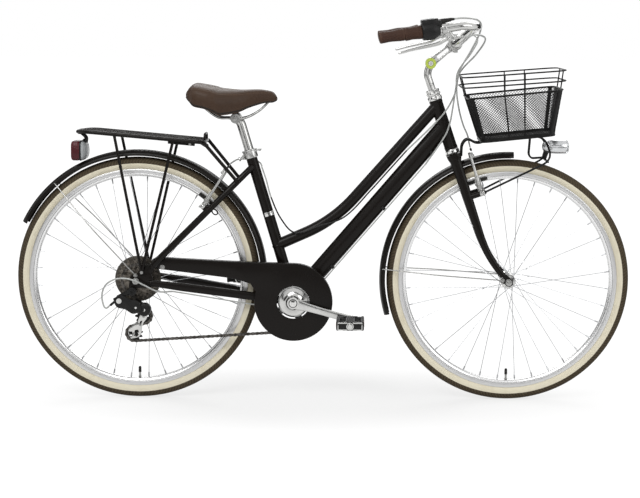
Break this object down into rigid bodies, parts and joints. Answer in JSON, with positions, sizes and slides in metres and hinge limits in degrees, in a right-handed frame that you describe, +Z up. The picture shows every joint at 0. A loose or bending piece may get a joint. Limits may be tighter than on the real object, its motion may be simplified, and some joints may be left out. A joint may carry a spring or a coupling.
{
  "type": "step through city bicycle",
  "caption": "Step through city bicycle with chain case, mudguards, rear luggage rack, front basket, swept handlebar, rim brakes and a rear derailleur.",
  "frame": {"origin": "on the ground, midway between the two axles", "axes": "+X to the front wheel, +Y to the rider's left, +Z up"},
  "size_m": [1.7592, 0.5986, 1.1013],
  "materials": {
    "paint": "gloss near black",
    "black_plastic": "satin black",
    "aluminium": "brushed silver",
    "chrome": "polished",
    "steel": "plain steel",
    "dark_steel": "oiled dark steel",
    "tyre": "dark tread with cream side walls",
    "saddle": "brown grained cover",
    "grip": "brown ribbed",
    "tail_lens": "dark red lens",
    "lens": "clear",
    "cable": "pale grey sheath",
    "net": "black wire net"
  },
  "bodies": {
    "frame": {"frame_tubes": "paint", "right_stays": "paint", "left_stays": "paint", "headset_upper": "chrome", "headset_lower": "chrome", "seat_collar": "aluminium", "chain_case": "paint", "rear_mudguard": "paint", "luggage_rack": "paint", "tail_light": "tail_lens", "rear_axle": "steel", "chain": "dark_steel", "bottom_bracket": "steel", "gear_cable": "cable", "rear_brake_cable": "cable", "derailleur_mount": "black_plastic"},
    "seat_post": {"seat_post": "aluminium"},
    "saddle": {"saddle": "saddle", "saddle_rails": "steel"},
    "fork": {"fork": "paint", "front_axle": "steel", "front_mudguard": "paint", "basket": "net", "basket_support": "net", "front_brake_cable": "cable"},
    "headlight": {"headlight_housing": "aluminium", "headlight_lens": "lens"},
    "quill": {"stem_quill": "aluminium"},
    "handlebar": {"stem_extension": "aluminium", "handlebar": "aluminium", "grip_right": "grip", "grip_left": "grip", "lever_bracket_right": "black_plastic", "lever_bracket_left": "black_plastic", "shifter_housing": "black_plastic"},
    "shifter": {"twist_grip": "black_plastic"},
    "brake_lever_right": {"brake_lever_right": "aluminium"},
    "brake_lever_left": {"brake_lever_left": "aluminium"},
    "front_wheel": {"front_tyre": "tyre", "front_rim": "aluminium", "front_hub": "aluminium"},
    "rear_wheel": {"rear_tyre": "tyre", "rear_rim": "aluminium", "rear_hub": "aluminium"},
    "freewheel": {"freewheel": "dark_steel"},
    "crank": {"bracket_axle": "steel", "chainring": "aluminium", "crank_right": "aluminium", "crank_left": "aluminium"},
    "pedal_right": {"pedal_right": "black_plastic"},
    "pedal_left": {"pedal_left": "black_plastic"},
    "front_brake_arm_right": {"front_brake_arm_right": "aluminium"},
    "front_brake_arm_left": {"front_brake_arm_left": "aluminium"},
    "rear_brake_arm_right": {"rear_brake_arm_right": "aluminium"},
    "rear_brake_arm_left": {"rear_brake_arm_left": "aluminium"},
    "derailleur_link": {"derailleur_link": "black_plastic"},
    "derailleur_knuckle": {"derailleur_knuckle": "black_plastic"},
    "derailleur_cage": {"derailleur_cage": "aluminium"},
    "guide_pulley": {"guide_pulley": "black_plastic"},
    "tension_pulley": {"tension_pulley": "black_plastic"}
  },
  "joints": [
    {"name": "steering", "type": "hinge", "parent": "frame", "child": "fork", "pos_m": [0.36506, 0, 0.72652], "axis": [-0.3214, 0, 0.9469], "range_deg": [-60, 60], "deforming": ["gear_cable", "rear_brake_cable", "front_brake_cable"]},
    {"name": "quill_height", "type": "slide", "parent": "fork", "child": "quill", "axis": [-0.3214, 0, 0.9469], "range_m": [-0.015, 0.03]},
    {"name": "stem_angle", "type": "hinge", "parent": "quill", "child": "handlebar", "pos_m": [0.303, 0, 0.9705], "axis": [0, 1, 0], "range_deg": [-15, 15]},
    {"name": "seat_height", "type": "slide", "parent": "frame", "child": "seat_post", "axis": [-0.2885, 0, 0.9575], "range_m": [-0.06, 0.08]},
    {"name": "saddle_tilt", "type": "hinge", "parent": "seat_post", "child": "saddle", "pos_m": [-0.251, 0, 0.811], "axis": [0, 1, 0], "range_deg": [-10, 10]},
    {"name": "headlight_tilt", "type": "hinge", "parent": "fork", "child": "headlight", "pos_m": [0.632, 0, 0.706], "axis": [0, 1, 0], "range_deg": [-10, 10]},
    {"name": "front_wheel_spin", "type": "hinge", "parent": "fork", "child": "front_wheel", "pos_m": [0.5306, 0, 0.349], "axis": [0, 1, 0], "continuous": true},
    {"name": "rear_wheel_spin", "type": "hinge", "parent": "frame", "child": "rear_wheel", "pos_m": [-0.5306, 0, 0.349], "axis": [0, 1, 0], "continuous": true},
    {"name": "crank_spin", "type": "hinge", "parent": "frame", "child": "crank", "pos_m": [-0.084, 0, 0.288], "axis": [0, 1, 0], "continuous": true, "deforming": ["chain"]},
    {"name": "freewheel_spin", "type": "hinge", "parent": "frame", "child": "freewheel", "pos_m": [-0.5306, 0, 0.349], "axis": [0, 1, 0], "continuous": true},
    {"name": "pedal_right_spin", "type": "hinge", "parent": "crank", "child": "pedal_right", "pos_m": [0.0799, -0.13, 0.24285], "axis": [0, 1, 0], "continuous": true},
    {"name": "pedal_left_spin", "type": "hinge", "parent": "crank", "child": "pedal_left", "pos_m": [-0.2479, 0.13, 0.33315], "axis": [0, 1, 0], "continuous": true},
    {"name": "brake_lever_right_pull", "type": "hinge", "parent": "handlebar", "child": "brake_lever_right", "pos_m": [0.34213, -0.26086, 1.04594], "axis": [0, 1, 0], "range_deg": [0, 8], "stiffness_Nm_per_rad": 1, "springref_deg": -8.59},
    {"name": "brake_lever_left_pull", "type": "hinge", "parent": "handlebar", "child": "brake_lever_left", "pos_m": [0.34213, 0.26086, 1.04594], "axis": [0, 1, 0], "range_deg": [0, 8], "stiffness_Nm_per_rad": 1, "springref_deg": -8.59},
    {"name": "front_brake_arm_right_turn", "type": "hinge", "parent": "fork", "child": "front_brake_arm_right", "pos_m": [0.45, -0.041, 0.603], "axis": [0.9469, 0, 0.3214], "range_deg": [-2, 0]},
    {"name": "front_brake_arm_left_turn", "type": "hinge", "parent": "fork", "child": "front_brake_arm_left", "pos_m": [0.45, 0.041, 0.603], "axis": [0.9469, 0, 0.3214], "range_deg": [0, 2]},
    {"name": "rear_brake_arm_right_turn", "type": "hinge", "parent": "frame", "child": "rear_brake_arm_right", "pos_m": [-0.342, -0.041, 0.56], "axis": [-0.7077, 0, 0.7065], "range_deg": [0, 2]},
    {"name": "rear_brake_arm_left_turn", "type": "hinge", "parent": "frame", "child": "rear_brake_arm_left", "pos_m": [-0.342, 0.041, 0.56], "axis": [-0.7077, 0, 0.7065], "range_deg": [-2, 0]},
    {"name": "shifter_twist", "type": "hinge", "parent": "handlebar", "child": "shifter", "pos_m": [0.24326, -0.2727, 1.05743], "axis": [0.98, 0.1367, 0.1444], "range_deg": [-60, 60]},
    {"name": "derailleur_swing", "type": "hinge", "parent": "frame", "child": "derailleur_link", "pos_m": [-0.5766, -0.076, 0.294], "axis": [0.3707, 0, 0.9287], "range_deg": [-14.5, 14.5]},
    {"name": "knuckle_swing", "type": "hinge", "parent": "derailleur_link", "child": "derailleur_knuckle", "pos_m": [-0.529, -0.076, 0.275], "axis": [0.3707, 0, 0.9287], "range_deg": [-14.5, 14.5]},
    {"name": "cage_spring", "type": "hinge", "parent": "derailleur_knuckle", "child": "derailleur_cage", "pos_m": [-0.506, -0.06, 0.268], "axis": [0, 1, 0], "range_deg": [-12, 25], "stiffness_Nm_per_rad": 0.5, "springref_deg": 17.19},
    {"name": "guide_pulley_spin", "type": "hinge", "parent": "derailleur_cage", "child": "guide_pulley", "pos_m": [-0.512, -0.044, 0.244], "axis": [0, 1, 0], "continuous": true},
    {"name": "tension_pulley_spin", "type": "hinge", "parent": "derailleur_cage", "child": "tension_pulley", "pos_m": [-0.54, -0.044, 0.194], "axis": [0, 1, 0], "continuous": true}
  ],
  "couplings": [
    {"joint": "freewheel_spin", "follows": "crank_spin", "ratio": 2},
    {"joint": "guide_pulley_spin", "follows": "crank_spin", "ratio": -3.8182},
    {"joint": "tension_pulley_spin", "follows": "crank_spin", "ratio": 3.8182},
    {"joint": "derailleur_swing", "follows": "shifter_twist", "ratio": 0.2333},
    {"joint": "knuckle_swing", "follows": "shifter_twist", "ratio": -0.2333},
    {"joint": "rear_brake_arm_right_turn", "follows": "brake_lever_right_pull", "ratio": 0.25},
    {"joint": "rear_brake_arm_left_turn", "follows": "brake_lever_right_pull", "ratio": -0.25},
    {"joint": "front_brake_arm_right_turn", "follows": "brake_lever_left_pull", "ratio": -0.25},
    {"joint": "front_brake_arm_left_turn", "follows": "brake_lever_left_pull", "ratio": 0.25}
  ]
}
